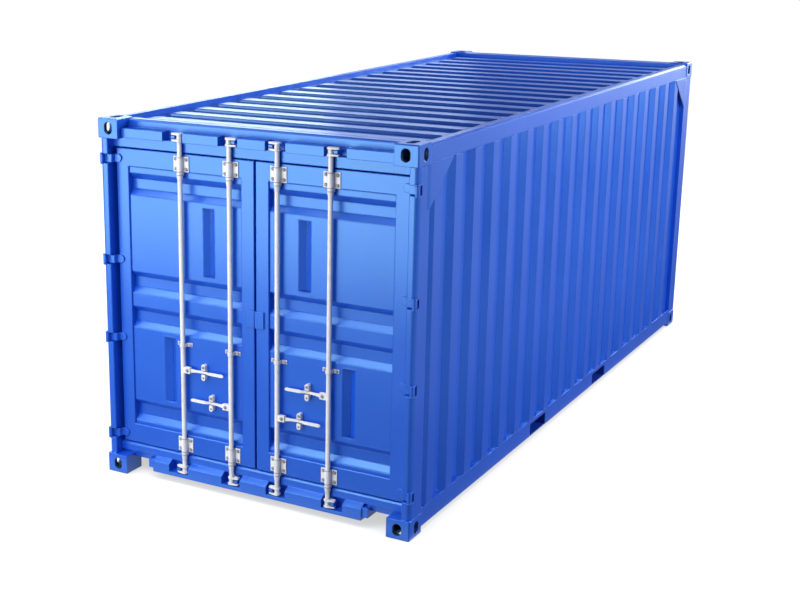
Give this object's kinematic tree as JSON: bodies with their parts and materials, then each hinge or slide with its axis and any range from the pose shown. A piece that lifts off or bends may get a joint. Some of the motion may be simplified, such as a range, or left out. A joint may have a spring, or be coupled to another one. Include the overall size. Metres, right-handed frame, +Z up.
{
  "type": "shipping container",
  "caption": "Steel freight container with corrugated walls and roof, hinged end doors with lock bars and handles, corner castings and fork pockets.",
  "frame": {"origin": "on the ground under the middle of the container", "axes": "+Z up, +Y from the door end to the blind end, +X to the right of someone facing the doors"},
  "size_m": [2.438, 6.058, 2.591],
  "materials": {
    "body_paint": "gloss",
    "hardware_white": "semi-gloss",
    "seal_rubber": "matt",
    "floor_plywood": "satin"
  },
  "bodies": {
    "root": {"bottom_side_rail_left": "body_paint", "bottom_side_rail_right": "body_paint", "corner_casting_front_bottom_left": "body_paint", "corner_casting_front_bottom_right": "body_paint", "corner_casting_front_top_left": "body_paint", "corner_casting_front_top_right": "body_paint", "corner_casting_rear_bottom_left": "body_paint", "corner_casting_rear_bottom_right": "body_paint", "corner_casting_rear_top_left": "body_paint", "corner_casting_rear_top_right": "body_paint", "corner_gussets": "body_paint", "cross_members": "body_paint", "door_header": "body_paint", "door_sill": "body_paint", "floor_boards": "floor_plywood", "fork_pockets": "body_paint", "front_bottom_rail": "body_paint", "front_corner_post_left": "body_paint", "front_corner_post_right": "body_paint", "front_top_rail": "body_paint", "front_wall": "body_paint", "hinge_lugs_left": "body_paint", "hinge_lugs_right": "body_paint", "rear_corner_post_left": "body_paint", "rear_corner_post_right": "body_paint", "roof_panel": "body_paint", "side_wall_left": "body_paint", "side_wall_right": "body_paint", "top_side_rail_left": "body_paint", "top_side_rail_right": "body_paint"},
    "door_left": {"bar_brackets_left": "hardware_white", "door_frame_left": "body_paint", "door_gasket_left": "seal_rubber", "door_panel_left": "body_paint", "handle_catches_left": "hardware_white", "hinge_blades_left": "body_paint", "meeting_plate_left": "body_paint"},
    "door_right": {"bar_brackets_right": "hardware_white", "door_frame_right": "body_paint", "door_gasket_right": "seal_rubber", "door_panel_right": "body_paint", "handle_catches_right": "hardware_white", "hinge_blades_right": "body_paint", "meeting_plate_right": "body_paint"},
    "lock_bar_1": {"lock_bar_1": "hardware_white", "handle_1": "hardware_white"},
    "lock_bar_2": {"lock_bar_2": "hardware_white", "handle_2": "hardware_white"},
    "lock_bar_3": {"lock_bar_3": "hardware_white", "handle_3": "hardware_white"},
    "lock_bar_4": {"lock_bar_4": "hardware_white", "handle_4": "hardware_white"}
  },
  "joints": [
    {"name": "door_left_hinge", "type": "hinge", "parent": "root", "child": "door_left", "pos_m": [-1.203, -3.011, 0], "axis": [0, 0, -1], "range_deg": [0, 270]},
    {"name": "door_right_hinge", "type": "hinge", "parent": "root", "child": "door_right", "pos_m": [1.203, -3.011, 0], "axis": [0, 0, 1], "range_deg": [0, 270]},
    {"name": "lock_bar_1_turn", "type": "hinge", "parent": "door_left", "child": "lock_bar_1", "pos_m": [-0.58, -2.967, 0], "axis": [0, 0, 1], "range_deg": [-110, 0]},
    {"name": "lock_bar_2_turn", "type": "hinge", "parent": "door_left", "child": "lock_bar_2", "pos_m": [-0.185, -2.967, 0], "axis": [0, 0, -1], "range_deg": [-110, 0]},
    {"name": "lock_bar_3_turn", "type": "hinge", "parent": "door_right", "child": "lock_bar_3", "pos_m": [0.185, -2.967, 0], "axis": [0, 0, 1], "range_deg": [-110, 0]},
    {"name": "lock_bar_4_turn", "type": "hinge", "parent": "door_right", "child": "lock_bar_4", "pos_m": [0.58, -2.967, 0], "axis": [0, 0, -1], "range_deg": [-110, 0]}
  ]
}
